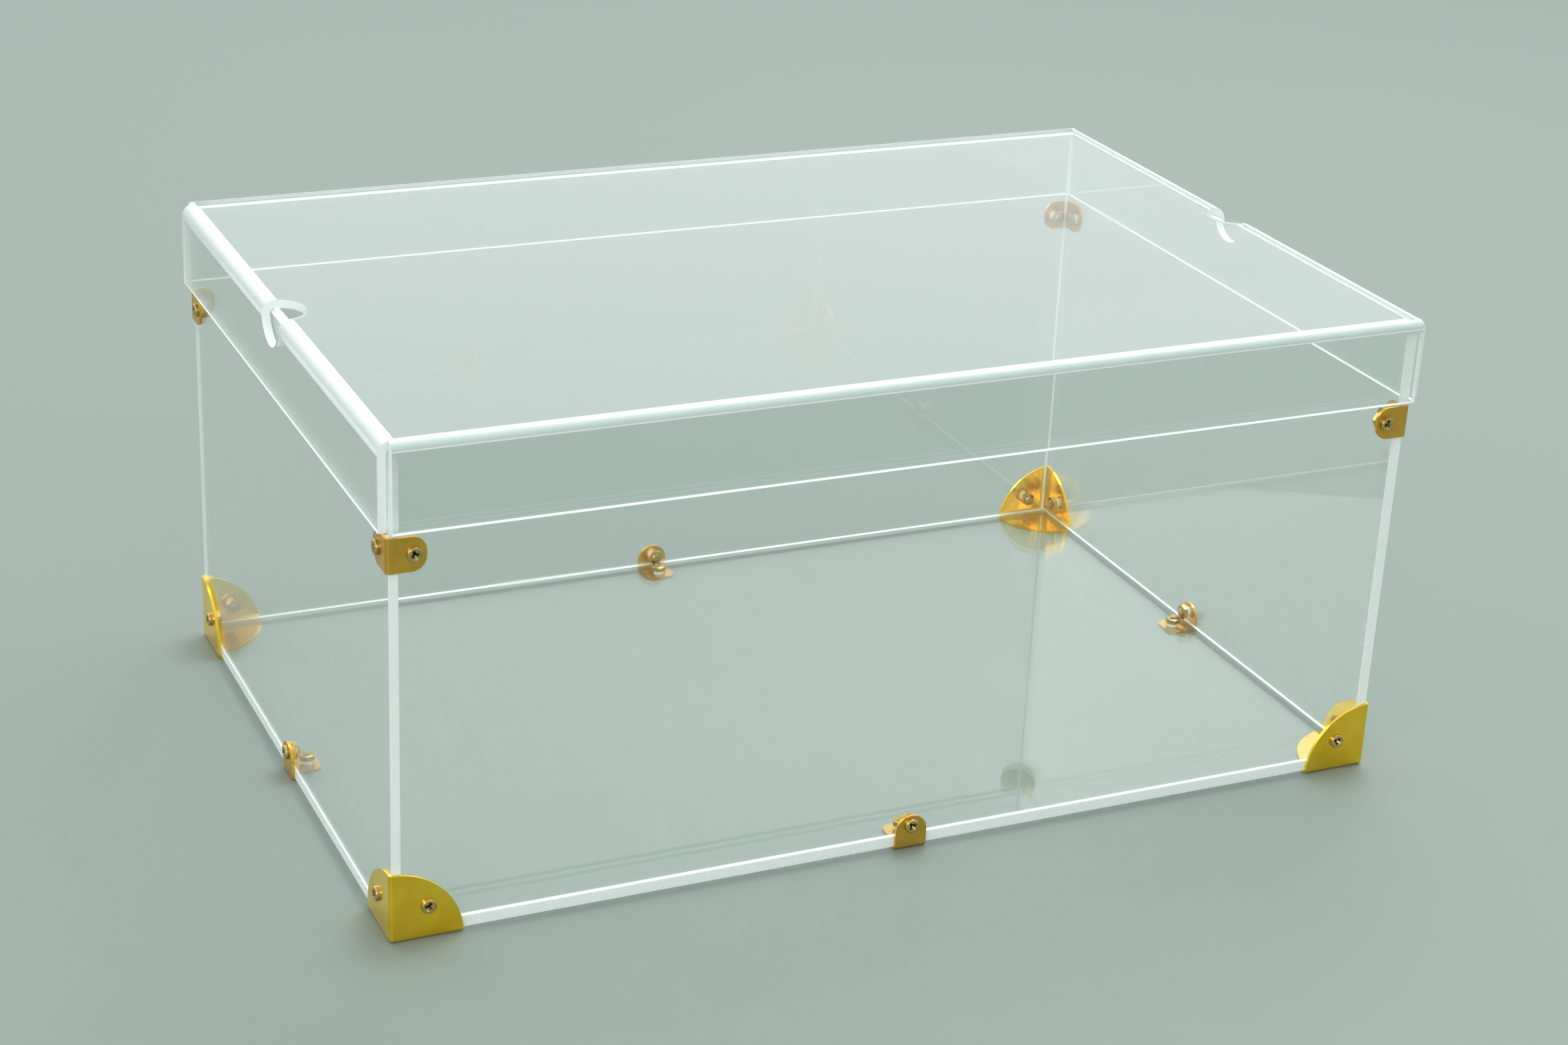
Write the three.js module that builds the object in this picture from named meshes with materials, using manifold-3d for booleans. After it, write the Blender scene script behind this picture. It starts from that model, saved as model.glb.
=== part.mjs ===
// A clear acrylic shoe box with a lift-off lid and brass corner guards, corner straps and edge clips.
//
// Millimetres, +Z up. X runs along the box, Y runs from the front to the back, and the origin is
// under the middle of the box, on the surface that it stands on. The box is five flat panels
// cemented edge to edge, the lid is one sheet bent down at both ends with a strip cemented under its
// front edge and another under its back edge, and every bracket is held by screws with nuts inside.

import * as THREE from "three";
import { mergeVertices } from "three/addons/utils/BufferGeometryUtils.js";
import { RoundedBoxGeometry } from "three/addons/geometries/RoundedBoxGeometry.js";
import Module from "manifold-3d";

const wasm = await Module();
wasm.setup();

// ---------------------------------------------------------------- driving dimensions

const BOX_LENGTH = 380;
const BOX_DEPTH = 249;
const TOTAL_HEIGHT = 179;
const WALL = 3;
const WALL_EASING = 1.2;
const BASE = 4;
const METAL = 0.8;
const GAP = 0.3;

const LID_SHEET = 3;
const LID_PLAY = 0.5;
const LID_DEPTH_PLAY = 1.5;
const LID_LEG_OVERHANG = 0.8;
const LID_BEND = 5.2;
const LID_EDGE_ROUND = 2.7;
const LID_DROP = 31;
const NOTCH_RADIUS = 10.5;

const GUARD_RADIUS = 25.5;
const GUARD_SCREW = 12.3;
const FOLD_RADIUS = 1.2;

const STRAP_LEG = 13.5;
const STRAP_HEIGHT = 12;
const STRAP_BOTTOM = 133.7;
const STRAP_CORNER = 5;
const STRAP_SCREW = 8.2;

const CLIP_WIDTH = 12;
const CLIP_HEIGHT = 13;
const CLIP_FOOT = 14;
const CLIP_FOOT_CORNER = 3;
const CLIP_SCREW_UP = 9.2;
const CLIP_SCREW_IN = 8.5;

const SCREW_RADIUS = 1.5;
const HOLE_RADIUS = 1.9;
const HEAD_RADIUS = 2.65;
const HEAD_HEIGHT = 1;
const SUNK_HEAD_RADIUS = 2.75;
const SUNK_HEAD_DEPTH = 0.15;
const NUT_ACROSS_FLATS = 5.5;
const NUT_HEIGHT = 2;
const SCREW_END = 0.8;
const CROSS_LENGTH = 2.9;
const CROSS_WIDTH = 0.75;
const CROSS_DEPTH = 1.1;

// ---------------------------------------------------------------- derived places

const HALF_LENGTH = BOX_LENGTH / 2;
const HALF_DEPTH = BOX_DEPTH / 2;
const BRACKET_REACH = METAL + GAP;
const BASE_BOTTOM = METAL + GAP;
const BASE_TOP = BASE_BOTTOM + BASE;
const WALL_BOTTOM = BASE_TOP + GAP;
const LID_UNDERSIDE = TOTAL_HEIGHT - LID_SHEET;
const WALL_TOP = LID_UNDERSIDE - GAP;
const LID_HALF_LENGTH = HALF_LENGTH + LID_PLAY + LID_SHEET;
const LID_HALF_DEPTH = HALF_DEPTH + LID_DEPTH_PLAY + LID_SHEET;
const LID_LEG_HALF_DEPTH = HALF_DEPTH + LID_LEG_OVERHANG;
const LID_BOTTOM = TOTAL_HEIGHT - LID_DROP;
const ARC_STEPS = 6;
const RIGHT_ANGLE = Math.PI / 2;

// The four sides in turn. Each is worked out as the front side is, with u running to the right along
// the wall, and then turned about Z. "span" is half its width, "reach" its distance from the middle.
const sides = ["front", "right", "back", "left"].map((name, i) => ({
  name,
  turn: i * RIGHT_ANGLE,
  span: i % 2 === 0 ? HALF_LENGTH : HALF_DEPTH,
  reach: i % 2 === 0 ? HALF_DEPTH : HALF_LENGTH,
}));

// Each corner lies at the left end of one side and at the right end of the side before it.
const corners = ["front_left", "front_right", "back_right", "back_left"].map((name, i) => ({
  name,
  turn: sides[i].turn,
  x: -sides[i].span,
  y: -sides[i].reach,
}));

// ---------------------------------------------------------------- materials

const acrylic = new THREE.MeshStandardMaterial({
  color: 0xdfeae6,
  roughness: 0.05,
  metalness: 0,
  transparent: true,
  opacity: 0.35,
});
const polishedBrass = new THREE.MeshStandardMaterial({ color: 0xc9ae2b, roughness: 0.2, metalness: 1 });
const satinBrass = new THREE.MeshStandardMaterial({ color: 0xa3873a, roughness: 0.4, metalness: 1 });
const screwBrass = new THREE.MeshStandardMaterial({ color: 0xa8935a, roughness: 0.3, metalness: 1 });

// ---------------------------------------------------------------- solids

function toSolid(geometry) {
  const bare = geometry.clone();
  bare.deleteAttribute("normal");
  bare.deleteAttribute("uv");
  const welded = mergeVertices(bare, 1e-4);
  return new wasm.Manifold(new wasm.Mesh({
    numProp: 3,
    vertProperties: new Float32Array(welded.attributes.position.array),
    triVerts: new Uint32Array(welded.index.array),
  }));
}

function toGeometry(solid) {
  const mesh = solid.getMesh();
  const geometry = new THREE.BufferGeometry();
  geometry.setAttribute("position", new THREE.BufferAttribute(mesh.vertProperties, 3));
  geometry.setIndex(new THREE.BufferAttribute(mesh.triVerts, 1));
  geometry.computeVertexNormals();
  return geometry;
}

function join(...geometries) {
  return toGeometry(geometries.map(toSolid).reduce((whole, piece) => whole.add(piece)));
}

function common(geometry, other) {
  return toGeometry(toSolid(geometry).intersect(toSolid(other)));
}

function cut(geometry, ...tools) {
  return toGeometry(tools.map(toSolid).reduce((rest, tool) => rest.subtract(tool), toSolid(geometry)));
}

function extrude(shape, depth, curveSegments = ARC_STEPS) {
  return new THREE.ExtrudeGeometry(shape, { depth, bevelEnabled: false, curveSegments });
}

// A round hole of the usual screw clearance in a flat outline.
function screwHole(x, y) {
  const hole = new THREE.Path();
  hole.absarc(x, y, HOLE_RADIUS, 0, 2 * Math.PI, true);
  return hole;
}

function rectangle(x0, y0, x1, y1) {
  const shape = new THREE.Shape();
  shape.moveTo(x0, y0);
  shape.lineTo(x1, y0);
  shape.lineTo(x1, y1);
  shape.lineTo(x0, y1);
  shape.closePath();
  return shape;
}

// A flat piece drawn as seen from outside a side, standing with its inner face at "inner" and growing
// outwards, in the frame of the front side.
function stand(shape, thickness, inner) {
  return extrude(shape, thickness).rotateX(RIGHT_ANGLE).translate(0, -inner, 0);
}

// ---------------------------------------------------------------- box panels

function basePanel() {
  const shape = rectangle(-HALF_LENGTH, -HALF_DEPTH, HALF_LENGTH, HALF_DEPTH);
  for (const side of sides) {
    const hole = new THREE.Vector2(0, CLIP_SCREW_IN - side.reach);
    hole.rotateAround(new THREE.Vector2(), side.turn);
    shape.holes.push(screwHole(hole.x, hole.y));
  }
  return extrude(shape, BASE).translate(0, 0, BASE_BOTTOM);
}

// A wall panel with its five screw holes: two guards, two straps and one clip.
function wallPanel(side, halfWidth) {
  const shape = rectangle(-halfWidth, WALL_BOTTOM, halfWidth, WALL_TOP);
  for (const end of [-1, 1]) {
    shape.holes.push(screwHole(end * (side.span - GUARD_SCREW), GUARD_SCREW));
    shape.holes.push(screwHole(end * (side.span - STRAP_SCREW), STRAP_BOTTOM + STRAP_HEIGHT / 2));
  }
  shape.holes.push(screwHole(0, CLIP_SCREW_UP));
  return stand(shape, WALL, side.reach - WALL);
}

// The end panels' outer top edges are eased, so that the lid's bends clear them.
function endPanel(side) {
  const margin = 1;
  const corner = new THREE.Shape();
  corner.moveTo(-side.reach - margin, WALL_TOP - WALL_EASING - margin);
  corner.lineTo(-side.reach + WALL_EASING + margin, WALL_TOP + margin);
  corner.lineTo(-side.reach - margin, WALL_TOP + margin);
  corner.closePath();
  const tool = extrude(corner, 2 * (side.span + margin)).rotateX(RIGHT_ANGLE).rotateZ(RIGHT_ANGLE);
  return cut(wallPanel(side, side.span), tool.translate(-side.span - margin, 0, 0));
}

// ---------------------------------------------------------------- lid

// The bent sheet seen from the front: its flat top, and a leg down at each end.
function lidProfile() {
  const bendX = LID_HALF_LENGTH - LID_BEND;
  const bendZ = TOTAL_HEIGHT - LID_BEND;
  const innerX = LID_HALF_LENGTH - LID_SHEET;
  const innerBend = LID_BEND - LID_SHEET;
  const shape = new THREE.Shape();
  shape.moveTo(-innerX, LID_BOTTOM);
  shape.lineTo(-innerX, bendZ);
  shape.absarc(-bendX, bendZ, innerBend, Math.PI, RIGHT_ANGLE, true);
  shape.absarc(bendX, bendZ, innerBend, RIGHT_ANGLE, 0, true);
  shape.lineTo(innerX, LID_BOTTOM);
  shape.lineTo(LID_HALF_LENGTH, LID_BOTTOM);
  shape.absarc(bendX, bendZ, LID_BEND, 0, RIGHT_ANGLE, false);
  shape.absarc(-bendX, bendZ, LID_BEND, RIGHT_ANGLE, Math.PI, false);
  shape.lineTo(-LID_HALF_LENGTH, LID_BOTTOM);
  shape.closePath();
  return shape;
}

// The finger notch is a round hole on the bend, so it cuts a scallop in the top and one in the leg.
// The cutter is a drum through the leg and one through the top, centred on the bend.
function notchCutters(end) {
  const reach = 4 * NOTCH_RADIUS;
  const middle = NOTCH_RADIUS / Math.SQRT2;
  const leg = new THREE.CylinderGeometry(NOTCH_RADIUS, NOTCH_RADIUS, reach, 32);
  leg.rotateZ(RIGHT_ANGLE);
  const top = new THREE.CylinderGeometry(NOTCH_RADIUS, NOTCH_RADIUS, reach, 32);
  top.rotateX(RIGHT_ANGLE);
  const offset = notchOffset();
  leg.translate(end * (LID_HALF_LENGTH + reach / 2 - middle), 0, TOTAL_HEIGHT - offset);
  top.translate(end * (LID_HALF_LENGTH - offset), 0, TOTAL_HEIGHT + reach / 2 - middle);
  return [leg, top];
}

// How far inside the outer faces the drum's centre lies, for a hole centred on the unbent sheet.
function notchOffset() {
  const halfBendLength = (LID_BEND - LID_SHEET / 2) * RIGHT_ANGLE / 2;
  return LID_BEND - halfBendLength;
}

// The flat part of the lid, which is deeper than the legs are wide, with its two long upper edges
// rounded over. It is drawn as seen from one end.
function lidTop() {
  const roundY = LID_HALF_DEPTH - LID_EDGE_ROUND;
  const roundZ = TOTAL_HEIGHT - LID_EDGE_ROUND;
  const shape = new THREE.Shape();
  shape.moveTo(-LID_HALF_DEPTH, LID_UNDERSIDE);
  shape.lineTo(LID_HALF_DEPTH, LID_UNDERSIDE);
  shape.absarc(roundY, roundZ, LID_EDGE_ROUND, 0, RIGHT_ANGLE, false);
  shape.absarc(-roundY, roundZ, LID_EDGE_ROUND, RIGHT_ANGLE, Math.PI, false);
  shape.closePath();
  return stand(shape, 2 * HALF_LENGTH, -HALF_LENGTH).rotateZ(RIGHT_ANGLE);
}

function lidSheet() {
  const bent = stand(lidProfile(), 2 * LID_LEG_HALF_DEPTH, -LID_LEG_HALF_DEPTH);
  return cut(join(bent, lidTop()), ...notchCutters(-1), ...notchCutters(1));
}

// A strip under the lid's front or back edge.
function lidStrip(turn) {
  const shape = rectangle(-HALF_LENGTH, LID_BOTTOM, HALF_LENGTH, LID_UNDERSIDE - GAP);
  return stand(shape, LID_SHEET, LID_HALF_DEPTH - LID_SHEET).rotateZ(turn);
}

// ---------------------------------------------------------------- brackets

// Brackets that wrap a corner are drawn with the box's own corner at the origin, X and Y running
// inwards along the two walls, and then moved to the corner that they belong to.
function toCorner(geometry, corner) {
  return geometry.translate(corner.x, corner.y, 0).rotateZ(corner.turn);
}

// The outside of the sheet metal, with its folds rounded.
function foldedOutside(sizeX, sizeY, sizeZ) {
  return new RoundedBoxGeometry(sizeX, sizeY, sizeZ, 2, FOLD_RADIUS);
}

function drill(x, y, z, alongX) {
  const tool = new THREE.CylinderGeometry(HOLE_RADIUS, HOLE_RADIUS, 4 * METAL, 16);
  if (alongX) {
    tool.rotateZ(RIGHT_ANGLE);
  }
  return tool.translate(x, y, z);
}

// Three quarter-round plates: one under the base and one on each wall.
function cornerGuard(corner) {
  const quarter = new THREE.Shape();
  quarter.moveTo(0, 0);
  quarter.lineTo(GUARD_RADIUS, 0);
  quarter.absarc(0, 0, GUARD_RADIUS, 0, RIGHT_ANGLE, false);
  quarter.closePath();
  const plate = extrude(quarter, METAL, 2 * ARC_STEPS);
  const floor = plate.clone();
  const wallA = plate.clone().rotateX(RIGHT_ANGLE).translate(0, METAL, 0);
  const wallB = plate.clone().rotateY(-RIGHT_ANGLE).translate(METAL, 0, 0);
  const size = 2 * GUARD_RADIUS;
  const outside = foldedOutside(size, size, size).translate(GUARD_RADIUS, GUARD_RADIUS, GUARD_RADIUS);
  const whole = common(join(floor, wallA, wallB), outside);
  whole.translate(-BRACKET_REACH, -BRACKET_REACH, 0);
  const wallHole = drill(GUARD_SCREW, -BRACKET_REACH, GUARD_SCREW, false);
  const sideHole = drill(-BRACKET_REACH, GUARD_SCREW, GUARD_SCREW, true);
  return toCorner(cut(whole, wallHole, sideHole), corner);
}

// An L of two short legs with rounded ends, just under the lid's skirt.
function cornerStrap(corner) {
  const shape = new THREE.Shape();
  shape.moveTo(0, 0);
  shape.lineTo(STRAP_LEG - STRAP_CORNER, 0);
  shape.absarc(STRAP_LEG - STRAP_CORNER, STRAP_CORNER, STRAP_CORNER, -RIGHT_ANGLE, 0, false);
  shape.absarc(STRAP_LEG - STRAP_CORNER, STRAP_HEIGHT - STRAP_CORNER, STRAP_CORNER, 0, RIGHT_ANGLE, false);
  shape.lineTo(0, STRAP_HEIGHT);
  shape.closePath();
  const wallA = extrude(shape, METAL).rotateX(RIGHT_ANGLE).translate(0, METAL, 0);
  const wallB = extrude(shape, METAL).rotateX(RIGHT_ANGLE).rotateZ(RIGHT_ANGLE);
  const size = 2 * STRAP_LEG;
  const outside = foldedOutside(size, size, size).translate(STRAP_LEG, STRAP_LEG, STRAP_HEIGHT / 2);
  const whole = common(join(wallA, wallB), outside);
  whole.translate(-BRACKET_REACH, -BRACKET_REACH, STRAP_BOTTOM);
  const holeHeight = STRAP_BOTTOM + STRAP_HEIGHT / 2;
  const wallHole = drill(STRAP_SCREW, -BRACKET_REACH, holeHeight, false);
  const sideHole = drill(-BRACKET_REACH, STRAP_SCREW, holeHeight, true);
  return toCorner(cut(whole, wallHole, sideHole), corner);
}

// An L with an arched leg on the wall and a longer foot under the base, its screw hole countersunk.
function edgeClip(side) {
  const half = CLIP_WIDTH / 2;
  const outer = side.reach + BRACKET_REACH;
  const arch = new THREE.Shape();
  arch.moveTo(-half, 0);
  arch.lineTo(half, 0);
  arch.absarc(0, CLIP_HEIGHT - half, half, 0, Math.PI, false);
  arch.closePath();
  const leg = stand(arch, METAL, outer - METAL);
  const foot = new THREE.Shape();
  foot.moveTo(-half, -outer);
  foot.lineTo(half, -outer);
  const footEnd = CLIP_FOOT - outer - CLIP_FOOT_CORNER;
  foot.absarc(half - CLIP_FOOT_CORNER, footEnd, CLIP_FOOT_CORNER, 0, RIGHT_ANGLE, false);
  foot.absarc(CLIP_FOOT_CORNER - half, footEnd, CLIP_FOOT_CORNER, RIGHT_ANGLE, Math.PI, false);
  foot.closePath();
  const size = 2 * CLIP_FOOT;
  const outside = foldedOutside(size, size, size).translate(0, size / 2 - outer, size / 2);
  const whole = common(join(leg, extrude(foot, METAL)), outside);
  const wallHole = drill(0, -outer, CLIP_SCREW_UP, false);
  const sinkTop = SUNK_HEAD_RADIUS + SUNK_HEAD_DEPTH + GAP;
  const sink = new THREE.ConeGeometry(sinkTop, sinkTop, 16).rotateX(RIGHT_ANGLE);
  sink.translate(0, CLIP_SCREW_IN - side.reach, sinkTop / 2);
  return cut(whole, wallHole, sink).rotateZ(side.turn);
}

// ---------------------------------------------------------------- screws

// A screw with its nut, its axis on Z, pointing down from the outer face of the metal at z = 0. The
// head's outline runs from the axis to the shank, and "grip" is the metal and the sheet it clamps.
function screw(headOutline, recessTop, grip) {
  const nutTop = -grip - GAP;
  const tip = nutTop - NUT_HEIGHT - SCREW_END;
  const outline = [[0, tip], [SCREW_RADIUS, tip], ...headOutline];
  const body = new THREE.LatheGeometry(outline.map(([r, z]) => new THREE.Vector2(r, z)), 2 * ARC_STEPS);
  body.rotateX(RIGHT_ANGLE);
  const nutRadius = NUT_ACROSS_FLATS / Math.sqrt(3);
  const nut = new THREE.CylinderGeometry(nutRadius, nutRadius, NUT_HEIGHT, 6).rotateX(RIGHT_ANGLE);
  nut.translate(0, 0, nutTop - NUT_HEIGHT / 2);
  const slots = [[CROSS_LENGTH, CROSS_WIDTH], [CROSS_WIDTH, CROSS_LENGTH]].map(([x, y]) =>
    new THREE.BoxGeometry(x, y, 2 * CROSS_DEPTH).translate(0, 0, recessTop));
  return cut(join(body, nut), ...slots);
}

function panScrew() {
  const top = GAP + HEAD_HEIGHT;
  const head = [
    [SCREW_RADIUS, GAP],
    [HEAD_RADIUS, GAP],
    [HEAD_RADIUS, GAP + HEAD_HEIGHT * 0.5],
    [HEAD_RADIUS * 0.88, GAP + HEAD_HEIGHT * 0.85],
    [HEAD_RADIUS * 0.6, top],
    [0, top],
  ];
  return screw(head, top, METAL + GAP + WALL);
}

function sunkScrew() {
  const coneEnd = -SUNK_HEAD_DEPTH - (SUNK_HEAD_RADIUS - SCREW_RADIUS);
  const head = [
    [SCREW_RADIUS, coneEnd],
    [SUNK_HEAD_RADIUS, -SUNK_HEAD_DEPTH],
    [0, -SUNK_HEAD_DEPTH],
  ];
  return screw(head, -SUNK_HEAD_DEPTH, METAL + GAP + BASE);
}

// Puts a pan-head screw through a wall, u to the right of the side's middle and z up.
function screwOnSide(side, u, z) {
  const outer = side.reach + BRACKET_REACH;
  return panScrew().rotateX(RIGHT_ANGLE).translate(u, -outer, z).rotateZ(side.turn);
}

// ---------------------------------------------------------------- assembly

const shoeBox = new THREE.Group();
shoeBox.name = "shoe_box";
const boxBody = new THREE.Group();
const lid = new THREE.Group();
shoeBox.add(boxBody, lid);

function addMesh(group, name, geometry, material) {
  const mesh = new THREE.Mesh(geometry, material);
  mesh.name = name;
  group.add(mesh);
}

addMesh(boxBody, "base_panel", basePanel(), acrylic);
for (const side of sides) {
  const isLong = side.span === HALF_LENGTH;
  const panel = isLong ? wallPanel(side, side.span - WALL - GAP) : endPanel(side);
  addMesh(boxBody, `${side.name}_panel`, panel.rotateZ(side.turn), acrylic);
}

addMesh(lid, "lid_sheet", lidSheet(), acrylic);
addMesh(lid, "lid_front_strip", lidStrip(0), acrylic);
addMesh(lid, "lid_back_strip", lidStrip(Math.PI), acrylic);

for (const corner of corners) {
  addMesh(boxBody, `corner_guard_${corner.name}`, cornerGuard(corner), polishedBrass);
  addMesh(boxBody, `corner_strap_${corner.name}`, cornerStrap(corner), satinBrass);
}

for (const side of sides) {
  addMesh(boxBody, `edge_clip_${side.name}`, edgeClip(side), satinBrass);
}

// A screw on a wall is named after its wall and then the end of the wall that it is near.
sides.forEach((side, i) => {
  const ends = [
    { sign: -1, name: sides[(i + 3) % 4].name },
    { sign: 1, name: sides[(i + 1) % 4].name },
  ];
  for (const end of ends) {
    const guardPlace = end.sign * (side.span - GUARD_SCREW);
    const strapPlace = end.sign * (side.span - STRAP_SCREW);
    const guardScrew = screwOnSide(side, guardPlace, GUARD_SCREW);
    const strapScrew = screwOnSide(side, strapPlace, STRAP_BOTTOM + STRAP_HEIGHT / 2);
    addMesh(boxBody, `guard_screw_${side.name}_${end.name}`, guardScrew, screwBrass);
    addMesh(boxBody, `strap_screw_${side.name}_${end.name}`, strapScrew, screwBrass);
  }
  addMesh(boxBody, `clip_wall_screw_${side.name}`, screwOnSide(side, 0, CLIP_SCREW_UP), screwBrass);
  const footScrew = sunkScrew().rotateX(Math.PI).translate(0, CLIP_SCREW_IN - side.reach, 0);
  addMesh(boxBody, `clip_foot_screw_${side.name}`, footScrew.rotateZ(side.turn), screwBrass);
});

export default shoeBox;
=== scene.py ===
"""Looks of a clear acrylic shoe box with brass fittings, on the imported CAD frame. Lengths are in metres."""

import math

import bmesh
import bpy
from mathutils import Matrix, Vector


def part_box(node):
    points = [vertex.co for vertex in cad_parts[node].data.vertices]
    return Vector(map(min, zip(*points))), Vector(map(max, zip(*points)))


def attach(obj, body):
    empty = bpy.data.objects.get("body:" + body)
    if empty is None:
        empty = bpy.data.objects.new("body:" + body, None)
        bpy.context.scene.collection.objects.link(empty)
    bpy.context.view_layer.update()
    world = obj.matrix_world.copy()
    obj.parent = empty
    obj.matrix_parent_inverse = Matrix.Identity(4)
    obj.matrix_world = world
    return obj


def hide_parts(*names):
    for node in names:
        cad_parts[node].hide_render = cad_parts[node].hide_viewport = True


MM = 0.001
RIGHT_ANGLE = math.pi / 2

# Camera: where it stands from the box's origin, where it looks, and its lens on a 36 mm wide sensor.
CAMERA_PLACE = Vector((-0.4377, -0.9445, 0.5225))
CAMERA_AZIMUTH = math.radians(-25.04)
CAMERA_ELEVATION = math.radians(23.30)
CAMERA_ROLL = math.radians(2.69)
CAMERA_LENS = 68.6

# Acrylic
SHEET = 3 * MM
EDGE_ROUND = 0.18 * MM
HOLE_RADIUS = 1.9 * MM
WALL_EASING = 1.2 * MM
LID_BEND = 5.2 * MM
LID_EDGE_ROUND = 2.7 * MM
LEG_REACH = 125.3 * MM
LEG_SLIT = 0.3 * MM
NOTCH_RADIUS = 10.5 * MM
SEAM = 0.02 * MM

# Brass
METAL = 1.06 * MM
FOLD = 1.5 * MM
HALF_BEND = FOLD * RIGHT_ANGLE / 2
METAL_ROUND = 0.16 * MM
STRAP_CORNER = 5 * MM
CLIP_FOOT_CORNER = 3 * MM

# Screws and nuts
HEAD_RADIUS = 2.65 * MM
HEAD_HEIGHT = 1.25 * MM
SHANK_RADIUS = 1.5 * MM
THREAD_DEPTH = 0.25 * MM
THREAD_PITCH = 0.5 * MM
NUT_RADIUS = 3.15 * MM
NUT_HEIGHT = 2.1 * MM
TIP = 0.8 * MM
THREAD_CREST = 0.12 * MM
THREAD_FALL = 0.3 * MM
SUNK_RADIUS = 2.75 * MM
SUNK_RIM = 0.2 * MM
ROUND_STEPS = 40

# The screws' recess: its depth, how far its cutter stands proud of the head, the half length and half
# width of each wedge at the bottom and at the top of the cutter, and the same two radii of the cone.
RECESS_DEPTH = 1.25 * MM
CUTTER_PROUD = 0.3 * MM
WEDGE_LOW = (0.5 * MM, 0.1 * MM)
WEDGE_HIGH = (2.0 * MM, 0.62 * MM)
CONE_RADII = (0.15 * MM, 1.3 * MM)

# An edge is drawn sharp where its faces meet at more than these angles, and rims past the last one
# are rounded.
SHEET_SHARP = math.radians(12)
METAL_SHARP = math.radians(18)
SCREW_SHARP = math.radians(35)
RIM_SHARP = math.radians(50)

# Faces with edges shorter than these have no area that can be seen.
SHEET_SLIVER = 0.001 * MM
SCREW_SLIVER = 0.005 * MM
SNAP = 0.0001 * MM

FLOOR_HALF = 6
LIGHT_BOUNCES = 40

SIDES = ["front", "right", "back", "left"]
CORNERS = ["front_left", "front_right", "back_right", "back_left"]

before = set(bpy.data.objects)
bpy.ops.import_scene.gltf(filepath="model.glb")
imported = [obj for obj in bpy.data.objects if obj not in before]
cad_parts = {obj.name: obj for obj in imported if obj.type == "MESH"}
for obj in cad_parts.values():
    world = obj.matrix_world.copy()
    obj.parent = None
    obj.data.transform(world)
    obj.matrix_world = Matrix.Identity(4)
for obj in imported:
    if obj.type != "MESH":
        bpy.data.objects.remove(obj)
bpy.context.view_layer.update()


# ---------------------------------------------------------------- camera, floor and light


def add_camera():
    a, e, r = CAMERA_AZIMUTH, CAMERA_ELEVATION, CAMERA_ROLL
    back = Vector((math.sin(a) * math.cos(e), -math.cos(a) * math.cos(e), math.sin(e)))
    right = Vector((math.cos(a), math.sin(a), 0))
    up = back.cross(right)
    across = right * math.cos(r) + up * math.sin(r)
    upward = up * math.cos(r) - right * math.sin(r)
    data = bpy.data.cameras.new("camera")
    data.lens = CAMERA_LENS
    data.sensor_width = 36
    data.clip_start = 0.01
    camera = bpy.data.objects.new("camera", data)
    facing = Matrix((across, upward, back)).transposed().to_4x4()
    camera.matrix_world = Matrix.Translation(CAMERA_PLACE) @ facing
    bpy.context.scene.collection.objects.link(camera)
    bpy.context.scene.camera = camera


def add_floor(material):
    mesh = bpy.data.meshes.new("floor")
    half = FLOOR_HALF
    corners = [(-half, -half, 0), (half, -half, 0), (half, half, 0), (-half, half, 0)]
    mesh.from_pydata(corners, [], [(0, 1, 2, 3)])
    mesh.materials.append(material)
    floor = bpy.data.objects.new("floor", mesh)
    bpy.context.scene.collection.objects.link(floor)


def add_softbox(name, place, target, size, watts, colour):
    data = bpy.data.lights.new(name, "AREA")
    data.shape = "RECTANGLE"
    data.size, data.size_y = size
    data.energy = watts
    data.color = colour
    light = bpy.data.objects.new(name, data)
    light.location = place
    light.rotation_euler = (Vector(target) - Vector(place)).to_track_quat("-Z", "Y").to_euler()
    bpy.context.scene.collection.objects.link(light)


def add_world():
    """A plain pale studio, brighter above and behind the box."""
    world = bpy.data.worlds.new("studio")
    bpy.context.scene.world = world
    world.use_nodes = True
    nodes, links = world.node_tree.nodes, world.node_tree.links
    background = nodes["Background"]
    place = nodes.new("ShaderNodeTexCoord")
    towards = nodes.new("ShaderNodeVectorMath")
    towards.operation = "DOT_PRODUCT"
    towards.inputs[1].default_value = Vector((0.4, 0.5, 0.6)).normalized()
    glow = nodes.new("ShaderNodeMapRange")
    glow.inputs["From Min"].default_value = -0.7
    glow.inputs["From Max"].default_value = 0.8
    ramp = nodes.new("ShaderNodeMix")
    ramp.data_type = "RGBA"
    ramp.inputs["A"].default_value = (0.45, 0.50, 0.48, 1)
    ramp.inputs["B"].default_value = (1.05, 1.12, 1.12, 1)
    links.new(place.outputs["Generated"], towards.inputs[0])
    links.new(towards.outputs["Value"], glow.inputs["Value"])
    links.new(glow.outputs["Result"], ramp.inputs["Factor"])
    links.new(ramp.outputs["Result"], background.inputs["Color"])


# ---------------------------------------------------------------- materials


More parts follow.
